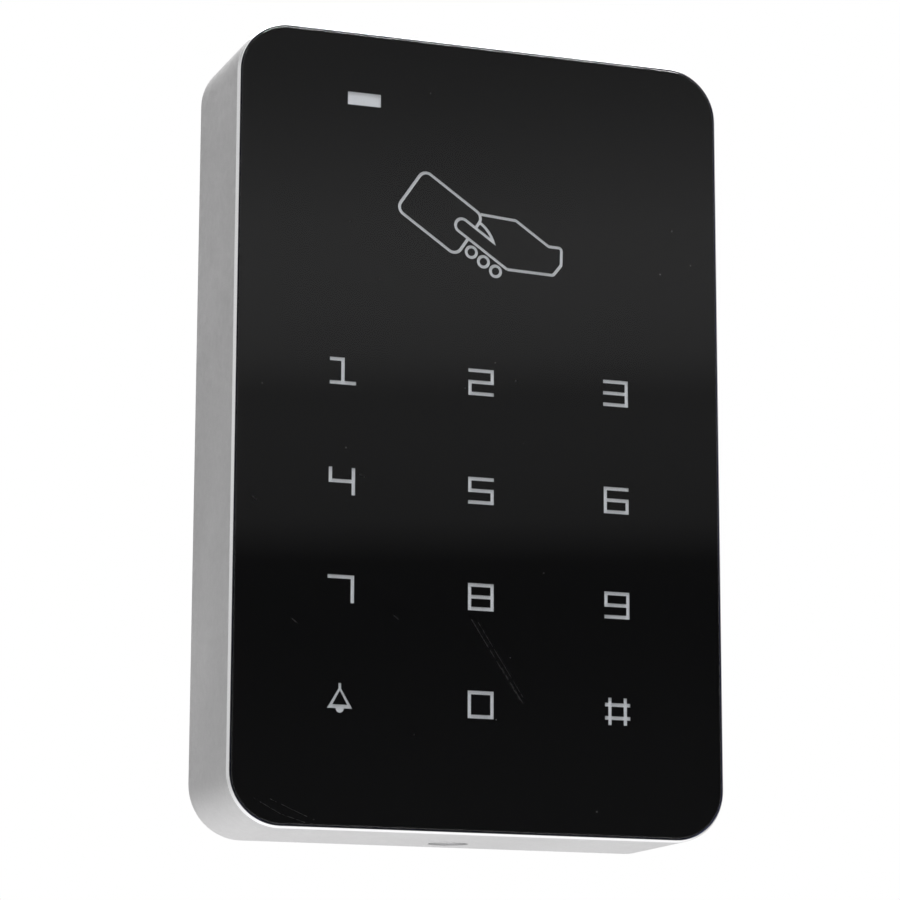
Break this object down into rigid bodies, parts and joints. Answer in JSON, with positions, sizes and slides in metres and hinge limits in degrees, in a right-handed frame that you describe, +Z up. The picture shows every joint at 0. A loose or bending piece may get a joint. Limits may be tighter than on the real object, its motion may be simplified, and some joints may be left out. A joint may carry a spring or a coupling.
{
  "type": "rfid card reader",
  "caption": "Wall-mounted RFID card reader with a glass touch keypad in a satin metal housing, hung on a folded steel bracket and locked by a screw from below.",
  "frame": {"origin": "middle of the reader's outline on the wall plane, on the back of the wall bracket", "axes": "+Z up along the reader's height, -Y out of the wall towards the person at the keypad, +X to that person's right"},
  "size_m": [0.0772, 0.021, 0.12],
  "materials": {
    "satin_aluminium": "sand-blasted and clear anodised, rim cut bright",
    "panel_glass": "polished",
    "black_ink": "screen-printed",
    "white_sheet": "translucent",
    "adhesive_tape": "acrylic foam tape",
    "light_box_white": "moulded",
    "spring_steel": "bright wire",
    "led_white": "clear resin over phosphor",
    "clear_acrylic": "polished, clear",
    "circuit_board": "green solder mask",
    "copper_wire": "enamelled copper",
    "chip_black": "moulded epoxy",
    "can_metal": "pressed can",
    "capacitor_can": "drawn can",
    "buzzer_black": "moulded",
    "sensor_resin": "coated ceramic disc",
    "header_white": "moulded nylon",
    "pin_tin": "tin plated",
    "zinc_steel": "zinc plated",
    "cover_black": "fine moulded texture",
    "seal_rubber": "silicone",
    "screw_steel": "stainless",
    "nylon_washer": "nylon"
  },
  "bodies": {
    "bracket": {"wall_bracket": "zinc_steel", "clinch_nut": "screw_steel"},
    "reader": {"housing": "satin_aluminium", "front_glass": "panel_glass", "print_mask": "black_ink", "legend_diffuser": "white_sheet", "glass_adhesive": "adhesive_tape", "light_box": "light_box_white", "touch_springs": "spring_steel", "key_leds": "led_white", "status_led": "led_white", "indicator_light_pipe": "clear_acrylic", "antenna_coil": "copper_wire", "main_board": "circuit_board", "controller_chip": "chip_black", "reader_chip": "chip_black", "touch_chip": "chip_black", "regulator": "chip_black", "crystal": "can_metal", "capacitors": "capacitor_can", "buzzer": "buzzer_black", "tamper_sensor": "sensor_resin", "wiring_header": "header_white", "header_pins": "pin_tin", "board_screws": "screw_steel", "rear_cover": "cover_black", "rear_cover_screws": "screw_steel", "cover_seal": "seal_rubber"},
    "washer": {"screw_washer": "nylon_washer"},
    "screw": {"security_screw": "screw_steel"}
  },
  "joints": [
    {"name": "reader_lift", "type": "slide", "parent": "bracket", "child": "reader", "axis": [0, 0, 1], "range_m": [0, 0.0065]},
    {"name": "screw_travel", "type": "slide", "parent": "reader", "child": "washer", "axis": [0, 0, -1], "range_m": [0, 0.0045]},
    {"name": "screw_turn", "type": "hinge", "parent": "washer", "child": "screw", "pos_m": [0, -0.006, -0.0576], "axis": [0, 0, -1], "range_deg": [0, 3240]}
  ],
  "couplings": [
    {"joint": "screw_turn", "follows": "screw_travel", "rad_per_m": 12566}
  ]
}
